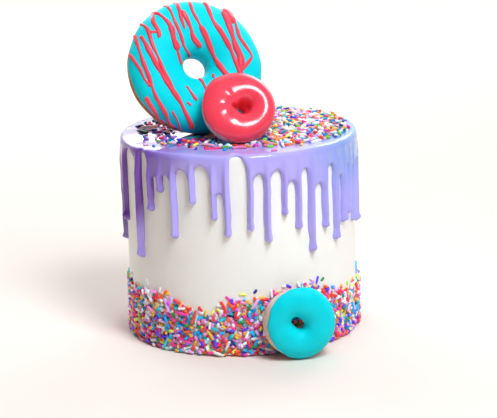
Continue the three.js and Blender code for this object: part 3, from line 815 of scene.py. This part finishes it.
def dough_ring(shape, glaze):
    """The whole ring of dough."""
    columns, rows = (168, 72) if shape is BIG else (128, 60)
    turn = np.linspace(0, 360, columns, endpoint=False)[None, :]
    angle = np.linspace(0, 360, rows, endpoint=False)[:, None]
    turn, angle = np.broadcast_arrays(turn, angle)
    local = ring_point(shape, glaze, turn, angle, 0 * turn)
    return to_world(shape, local).reshape(-1, 3), [ring_quads(rows, columns, closed=True)]


def iced_from(shape, turn):
    """Section angle at which the icing starts, wavy as dipped icing sets."""
    middle, swing, towards = shape["iced_from"]
    ragged = 1.6 * sine(5 * turn + 30) + 1.2 * sine(9 * turn + 80) + sine(14 * turn)
    return middle + swing * cosine(turn - towards) + ragged


def eased(values, knots, heights):
    """Heights between knots, level at each of them and smooth between."""
    place = np.interp(values, knots, np.arange(len(knots)))
    share = place % 1
    return np.interp(place - share + share ** 2 * (3 - 2 * share), np.arange(len(knots)), heights)


def glaze_lift(shape, glaze, turn, angle):
    """Height of the icing's face above the dough, rounded down to its two edges."""
    edge = np.clip(np.minimum(angle - iced_from(shape, turn), shape["iced_to"] - angle) / 12, 0, 1)
    waves = eased(turn % 360, *np.transpose(shape["ripple"]))
    return NODE_GAP + 0.2 + (glaze - 0.2) * quarter_round(edge) + waves * edge


def glaze_ring(shape, glaze):
    """The icing from the outer rim over the front into the hole, as an outer and an inner face."""
    columns, rows = (224, 84) if shape is BIG else (160, 72)
    turn = np.linspace(0, 360, columns, endpoint=False)[None, :]
    share = np.linspace(0, 1, rows)[:, None]
    share = share - 0.6 * sine(360 * share) / (2 * np.pi)
    start = iced_from(shape, turn)
    angle = start + (shape["iced_to"] - start) * share
    turn = np.broadcast_to(turn, angle.shape)
    lift = glaze_lift(shape, glaze, turn, angle)
    outer = to_world(shape, ring_point(shape, glaze, turn, angle, lift))
    inner = to_world(shape, ring_point(shape, glaze, turn, angle, 0 * turn), 0.4)
    points = np.concatenate([outer, inner[::-1]])
    return points.reshape(-1, 3), [ring_quads(2 * rows, columns, closed=True)]


STRAND_SIDES = 12


def strand(shape, glaze, half, knots):
    """A drizzled strand: a smooth curve through the knots on the face is laid on the icing and
    carries half an ellipse that narrows to a round end. Its width varies a little on the way."""
    knots = np.array(knots, float)
    padded = np.concatenate([[2 * knots[0] - knots[1]], knots, [2 * knots[-1] - knots[-2]]])
    t = np.linspace(0, 1, 60, endpoint=False)[:, None]
    a, b, c, d = padded[:-3, None], padded[1:-2, None], padded[2:-1, None], padded[3:, None]
    flat = 2 * b + (c - a) * t + (2 * a - 5 * b + 4 * c - d) * t ** 2 + (3 * b - a - 3 * c + d) * t ** 3
    flat = np.concatenate([0.5 * flat.reshape(-1, 2), knots[-1:]])
    turn = np.degrees(np.arctan2(flat[:, 1], flat[:, 0]))
    outer, hole = ring_edges(shape, turn)
    across = (np.hypot(*flat.T) - (outer + hole) / 2) / ((outer - hole) / 2 + glaze * 0.9)
    angle = np.degrees(np.arccos(np.clip(power(across, SECTION_POWER / 2), -1, 1)))
    angle = np.where(across > 1, -(across - 1) * 90, angle)
    angle = np.maximum(angle, iced_from(shape, turn) + 3)

    def lie(turn, angle, extra):
        return ring_point(shape, glaze, turn, angle, glaze_lift(shape, glaze, turn, angle) + extra)

    line = lie(turn, angle, 0.0)
    run = np.append(0, np.cumsum(np.linalg.norm(np.diff(line, axis=0), axis=1)))
    steps = max(int(run[-1] / 0.7), 6)
    at = np.linspace(0, run[-1], steps)
    turn, angle = np.interp(at, run, np.unwrap(turn, period=360)), np.interp(at, run, angle)
    line = lie(turn, angle, 0.0)
    normal = unit(lie(turn, angle, 0.5) - line)
    across = unit(np.cross(unit(np.gradient(line, axis=0)), normal))
    seed = int(abs(knots[0, 0]) * 7 + abs(knots[0, 1]))
    end = np.clip(np.minimum(at, run[-1] - at) / (1.4 * half), 0.02, 1)
    wavy = 1 + 0.2 * np.sin(at / 4.3 + seed) + 0.1 * np.sin(at / 1.9 + 2 * seed)
    wide = (half * quarter_round(end) * wavy)[:, None, None]
    ring = np.arange(0, 360, 360 // STRAND_SIDES)[None, :, None]
    rise = np.where(sine(ring) > 0, (0.25 + 0.55 * wide) * sine(ring), 0.3 * sine(ring))
    tube = line[:, None] + wide * cosine(ring) * across[:, None] + rise * normal[:, None]
    points = to_world(shape, tube).reshape(-1, 3)
    count = len(points)
    lower = fan(np.arange(STRAND_SIDES), count)
    upper = fan(np.arange(count - STRAND_SIDES, count), count + 1)[:, ::-1]
    faces = [ring_quads(steps, STRAND_SIDES)[:, ::-1], lower, upper]
    return np.concatenate([points, to_world(shape, line[[0, -1]])]), faces


def merged(parts):
    """Several closed shapes as one list of corners and faces."""
    points, faces, total = [], [], 0
    for corners, shapes in parts:
        points.append(corners)
        faces += [shape + total for shape in shapes]
        total += len(corners)
    return np.concatenate(points), faces


# Materials

def add(tree, kind, inputs=None, **settings):
    """Adds a node. settings are its own; inputs gives each socket a value or the output to link."""
    node = tree.nodes.new(kind)
    for name, value in settings.items():
        setattr(node, name, value)
    for name, value in (inputs or {}).items():
        if isinstance(value, bpy.types.NodeSocket):
            tree.links.new(value, node.inputs[name])
        else:
            node.inputs[name].default_value = value
    return node


def noise(tree, place, millimetres, detail=2.0, **more):
    """Noise with features about that many millimetres across."""
    inputs = {"Vector": place, "Scale": 1 / (millimetres * MM), "Detail": detail, **more}
    return add(tree, "ShaderNodeTexNoise", inputs).outputs[0]


def spread(tree, value, low, high, least=0.0, most=1.0):
    """A value between low and high drawn out to the range from least to most."""
    inputs = {"Value": value, "From Min": low, "From Max": high, "To Min": least, "To Max": most}
    return add(tree, "ShaderNodeMapRange", inputs).outputs[0]


def maths(tree, operation, first, second):
    return add(tree, "ShaderNodeMath", {0: first, 1: second}, operation=operation).outputs[0]


def mixed(tree, factor, first, second):
    """Colour between two, by a factor."""
    return add(tree, "ShaderNodeMix", {0: factor, 6: first, 7: second}, data_type="RGBA").outputs[2]


def shade(colour, *shares):
    """A darker or lighter colour with alpha, by one share or by one each for red, green and blue."""
    return tuple(min(c * share, 1.0) for c, share in zip(colour, shares * (3 // len(shares)))) + (1.0,)


def material(name, **values):
    """A Principled material with those values on its sockets, its nodes and its own coordinates."""
    made = bpy.data.materials.new(name)
    made.use_nodes = True
    sockets = made.node_tree.nodes["Principled BSDF"].inputs
    for socket, value in values.items():
        sockets[socket.replace("_", " ")].default_value = value
    return made, made.node_tree, add(made.node_tree, "ShaderNodeTexCoord").outputs["Object"]


def surface(tree, colour, height=None, strength=0.0, distance=0.0):
    """Links a colour and, where there is one, a height for the fine relief."""
    sockets = tree.nodes["Principled BSDF"].inputs
    tree.links.new(colour, sockets["Base Color"])
    if height is not None:
        inputs = {"Height": height, "Strength": strength, "Distance": distance}
        tree.links.new(add(tree, "ShaderNodeBump", inputs).outputs[0], sockets["Normal"])


def buttercream(colour):
    """Buttercream scraped smooth with a steel edge: matt and dense, a little light goes into it, with
    level scraper lines, a faint mottle of mixed-in air and pores under a millimetre across."""
    made, tree, place = material(
        "smoothed_buttercream", Roughness=0.5, IOR=1.46, Subsurface_Weight=0.1, Subsurface_Scale=0.0015)
    level = add(tree, "ShaderNodeMapping", {"Vector": place, "Scale": (0.12, 0.12, 1.0)}).outputs[0]
    mottled = mixed(tree, noise(tree, place, 14, 3.0), shade(colour, 1.0), shade(colour, 0.955))
    height = maths(tree, "ADD", noise(tree, level, 5, 4.0), noise(tree, place, 0.8))
    surface(tree, mottled, height, 0.5, 0.00012)
    return made


def ganache(colour):
    """White-chocolate ganache tinted and poured warm: a smooth skin with a satin gloss. It is painted
    violet towards the left as painted shade, strongest above a slanting line at the upper left, which
    is a painted shadow. It turns blue towards the right, less so low on the drips. It is slightly
    clouded where the tints aren't fully stirred in, with soft ripples from the pour."""
    made, tree, place = material(
        "poured_white_ganache", Roughness=0.36, IOR=1.47, Specular_IOR_Level=0.3, Coat_Weight=0.9,
        Coat_Roughness=0.07)
    x, _, z = add(tree, "ShaderNodeSeparateXYZ", {0: place}).outputs
    # The left mask paints shade: the violet at the left is painted shade, and above the slanting line
    # it is a painted shadow, weaker below that line.
    slope = add(tree, "ShaderNodeVectorMath", {0: place, 1: (-1.4, 0, 1)}, operation="DOT_PRODUCT")
    painted_shadow_share = spread(tree, slope.outputs["Value"], 0.166, 0.182, 0.28)
    left = maths(tree, "MULTIPLY", spread(tree, x, -0.028, -0.064), painted_shadow_share)
    right = maths(tree, "MULTIPLY", spread(tree, x, 0.038, 0.075), spread(tree, z, 0.094, 0.12, 0.2))
    tint_and_painted_shade = mixed(tree, left, shade(colour, 1.0), shade(colour, 0.33, 0.02, 0.43))
    tint_and_painted_shade = mixed(tree, right, tint_and_painted_shade, shade(colour, 0.34, 0.88, 0.84))
    clouds = maths(tree, "MULTIPLY", noise(tree, place, 22, 3.0), 0.2)
    tint_and_painted_shade = mixed(tree, clouds, tint_and_painted_shade, shade(colour, 0.92))
    surface(tree, tint_and_painted_shade, noise(tree, place, 6), 0.35, 0.0004)
    return made


def dipped_icing(name, colour, roughness, coat, pit, shine):
    """Poured fondant on a dipped ring: it sets to an even skin with a faint orange-peel and a few
    tiny pits, and small changes in tone where it lies thicker."""
    made, tree, place = material(
        name, Roughness=roughness, IOR=1.47, Specular_IOR_Level=shine, Coat_Weight=coat,
        Coat_Roughness=0.12, Subsurface_Weight=0.15, Subsurface_Scale=0.002)
    tone = mixed(tree, noise(tree, place, 9, 4.0), shade(colour, 0.9), shade(colour, 1.06))
    surface(tree, tone, noise(tree, place, 1.6), pit, 0.0002)
    return made


def dough(name, colour, brown, crumb):
    """Yeast dough fried or baked: a dry, finely wrinkled crust, browner in patches, with small
    blisters where bubbles broke through."""
    made, tree, place = material(
        name, Roughness=0.72, IOR=1.45, Subsurface_Weight=0.1, Subsurface_Scale=0.003)
    patches = spread(tree, noise(tree, place, 11, 5.0, Roughness=0.62), 0.35, 0.68)
    wrinkles = noise(tree, place, 1.8, 5.0, Roughness=0.6)
    surface(tree, mixed(tree, patches, shade(colour, 1.0), brown), wrinkles, crumb, 0.0006)
    return made


def pressed_sugar():
    """Sugar paste pressed through a plate, cut and polished with wax: each rod has one clean colour
    with a dull shine and a faint grain."""
    made, tree, place = material(
        "pressed_sugar", Roughness=0.38, IOR=1.5, Specular_IOR_Level=0.3, Subsurface_Weight=0.4,
        Subsurface_Scale=0.0013, Coat_Weight=0.15, Coat_Roughness=0.25)
    sugar = add(tree, "ShaderNodeAttribute", attribute_name="sugar_colour").outputs["Color"]
    dusty = spread(tree, noise(tree, place, 0.5), 0.4, 0.9, most=0.08)
    surface(tree, mixed(tree, dusty, sugar, (0.9, 0.88, 0.88, 1)))
    return made


def matt_paint(colour):
    """Plain matt floor paint, rolled on."""
    made, tree, place = material("matt_floor_paint", Roughness=0.9, Specular_IOR_Level=0.2)
    surface(tree, mixed(tree, noise(tree, place, 60), shade(colour, 1.0), shade(colour, 0.985)))
    return made


# Operators

class Step:
    """What the steps share: each builds from the cake's sizes and colours."""

    def execute(self, context):
        self.build(context.scene.drip_cake_sizes, context.scene.drip_cake_colours)
        return {"FINISHED"}


class CreamOperator(Step, bpy.types.Operator):
    """Build the cream-covered body"""
    bl_idname = "drip_cake.cream"
    bl_label = "Cream body"

    def build(self, sizes, colours):
        piece = new_piece("cream_body", cream_body(sizes), buttercream(colours.cream))
        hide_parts("cake")


class IcingOperator(Step, bpy.types.Operator):
    """Build the drip icing"""
    bl_idname = "drip_cake.icing"
    bl_label = "Drip icing"

    def build(self, sizes, colours):
        piece = new_piece("lilac_icing", drip_icing(sizes), ganache(colours.icing))
        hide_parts("drip_icing")


class SprinklesOperator(Step, bpy.types.Operator):
    """Scatter the sugar sprinkles on the side and on top"""
    bl_idname = "drip_cake.sprinkles"
    bl_label = "Sprinkles"

    def build(self, sizes, colours):
        sugar = pressed_sugar()
        side_sprinkles(sizes, sugar)
        top_sprinkles(sizes, sugar)


class DoughnutsOperator(Step, bpy.types.Operator):
    """Build the three ring doughnuts, dough and icing"""
    bl_idname = "drip_cake.doughnuts"
    bl_label = "Ring doughnuts"

    def build(self, sizes, colours):
        glaze = sizes.glaze_thickness / MM
        fried = dough("fried_yeast_dough", colours.fried, linear("8A4E20"), 0.8)
        pale = dough("baked_pale_dough", colours.pale, linear("D9AE98"), 0.5)
        turquoise = dipped_icing("dipped_fondant_turquoise", colours.turquoise, 0.55, 0.0, 0.35, 0.2)
        coral = dipped_icing("dipped_fondant_coral", colours.coral, 0.35, 1.0, 0.02, 0.2)
        for shape, crust, icing, crust_slot, icing_slot in (
                (BIG, fried, turquoise, "fried_dough", "turquoise_icing"),
                (PINK, pale, coral, "pale_dough", "coral_icing"),
                (SIDE, pale, turquoise, "pale_dough", "turquoise_icing")):
            for part, build, look, slot in (
                    ("dough", dough_ring, crust, crust_slot), ("icing", glaze_ring, icing, icing_slot)):
                piece = new_piece(f"{shape['name']}_{part}_skin", build(shape, glaze), look)
                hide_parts(f"{shape['name']}_{part}")


class DrizzleOperator(Step, bpy.types.Operator):
    """Drizzle icing over the large doughnut"""
    bl_idname = "drip_cake.drizzle"
    bl_label = "Drizzle"

    def build(self, sizes, colours):
        strands = [strand(BIG, sizes.glaze_thickness / MM, half, knots) for half, knots in DRIZZLE]
        coral = dipped_icing("drizzled_fondant_coral", colours.coral, 0.35, 0.2, 0.2, 0.4)
        piece = new_piece("coral_drizzle", merged(strands), coral)


DAYLIGHT = (0.84, 0.94, 1.0)


def lamp(name, direction, distance, size, watts, colour, aim=(0, 0, 0.1), glossy=True):
    """A soft light in a direction from the cake, facing the aim. It may be left out of reflections."""
    light = bpy.data.lights.new(name, "AREA")
    light.shape, light.size, light.size_y = "RECTANGLE", size[0], size[1]
    light.energy, light.color = watts, colour
    made = bpy.data.objects.new(name, light)
    made.location = Vector(direction).normalized() * distance + Vector((0, 0, 0.1))
    made.rotation_euler = (Vector(aim) - made.location).to_track_quat("-Z", "Y").to_euler()
    made.visible_glossy = glossy
    bpy.context.scene.collection.objects.link(made)


class StageOperator(Step, bpy.types.Operator):
    """Set up the floor, the soft lights and the camera"""
    bl_idname = "drip_cake.stage"
    bl_label = "Stage"

    def build(self, sizes, colours):
        scene = bpy.context.scene
        half, level = 4.0, -0.0003
        mesh = bpy.data.meshes.new("floor")
        corners = [(x * half, y * half, level) for x, y in ((-1, -1), (1, -1), (1, 1), (-1, 1))]
        mesh.from_pydata(corners, [], [(0, 1, 2, 3)])
        mesh.materials.append(matt_paint(colours.floor))
        floor = bpy.data.objects.new("floor", mesh)
        scene.collection.objects.link(floor)
        lamp("key_softbox", (0.26, -0.46, 0.85), 1.3, (0.31, 0.31), 6.9, DAYLIGHT)
        lamp("wide_softbox", (0.4, -0.68, 0.8), 1.3, (0.55, 0.55), 10.8, DAYLIGHT, glossy=False)
        lamp("top_softbox", (0.1, -0.25, 1.2), 1.2, (0.9, 0.9), 3.6, DAYLIGHT, glossy=False)
        lamp("back_reflector", (-0.22, 1.2, 0.44), 1.3, (0.34, 0.24), 1.6, (0.95, 0.97, 1.0))
        for name, direction, distance, aim in (
                ("left_background_softbox", (-0.75, 1.15, 0.75), 1.6, (-0.3, 0.8, 0)),
                ("right_background_softbox", (0.6, 1.3, 0.8), 1.8, (0.2, 1.2, 0))):
            lamp(name, direction, distance, (1.0, 0.8), 11, (0.80, 0.93, 1.0), aim)
        world = bpy.data.worlds.new("white_room")
        world.use_nodes = True
        tree = world.node_tree
        place = add(tree, "ShaderNodeTexCoord").outputs["Generated"]
        ahead = add(tree, "ShaderNodeSeparateXYZ", {0: place}).outputs[1]
        behind = spread(tree, ahead, 0.25, 0.7)
        room = mixed(tree, behind, (0.05, 0.035, 0.03, 1), (1.08, 1.08, 1.09, 1))
        tree.links.new(room, tree.nodes["Background"].inputs["Color"])
        scene.world = world
        tilt, roll = math.radians(14.503), math.radians(-1.801)
        right0, up0 = Vector((1, 0, 0)), Vector((0, math.sin(tilt), math.cos(tilt)))
        right = math.cos(roll) * right0 + math.sin(roll) * up0
        up = math.cos(roll) * up0 - math.sin(roll) * right0
        back = right.cross(up)
        camera = bpy.data.cameras.new("camera")
        camera.lens, camera.sensor_width, camera.clip_end = 154.18, 36, 20
        made = bpy.data.objects.new("camera", camera)
        place = Vector((0.005213, 0, 0.07625)) + back * 1.4
        made.matrix_world = Matrix.Translation(place) @ Matrix((right, up, back)).transposed().to_4x4()
        scene.collection.objects.link(made)
        scene.camera = made
        scene.view_settings.view_transform = "Standard"


class CakePanel(bpy.types.Panel):
    """Sizes, colours and building steps of the drip cake"""
    bl_idname = "VIEW3D_PT_drip_cake"
    bl_label = "Drip cake"
    bl_space_type = "VIEW_3D"
    bl_region_type = "UI"
    bl_category = "Drip cake"

    def draw(self, context):
        for settings in (context.scene.drip_cake_sizes, context.scene.drip_cake_colours):
            for name in settings.bl_rna.properties.keys():
                if name not in ("rna_type", "name"):
                    self.layout.prop(settings, name)
        for step in STEPS:
            self.layout.operator(step.bl_idname)


STEPS = (
    CreamOperator, IcingOperator, SprinklesOperator, DoughnutsOperator, DrizzleOperator, StageOperator)
CLASSES = (CakeSizes, CakeColours) + STEPS + (CakePanel,)


def register():
    for made in CLASSES:
        bpy.utils.register_class(made)
    bpy.types.Scene.drip_cake_sizes = bpy.props.PointerProperty(type=CakeSizes)
    bpy.types.Scene.drip_cake_colours = bpy.props.PointerProperty(type=CakeColours)


def unregister():
    del bpy.types.Scene.drip_cake_sizes, bpy.types.Scene.drip_cake_colours
    for made in reversed(CLASSES):
        bpy.utils.unregister_class(made)


def main():
    register()
    bpy.ops.drip_cake.cream()
    bpy.ops.drip_cake.icing()
    bpy.ops.drip_cake.sprinkles()
    bpy.ops.drip_cake.doughnuts()
    bpy.ops.drip_cake.drizzle()
    bpy.ops.drip_cake.stage()


if __name__ == "__main__":
    main()
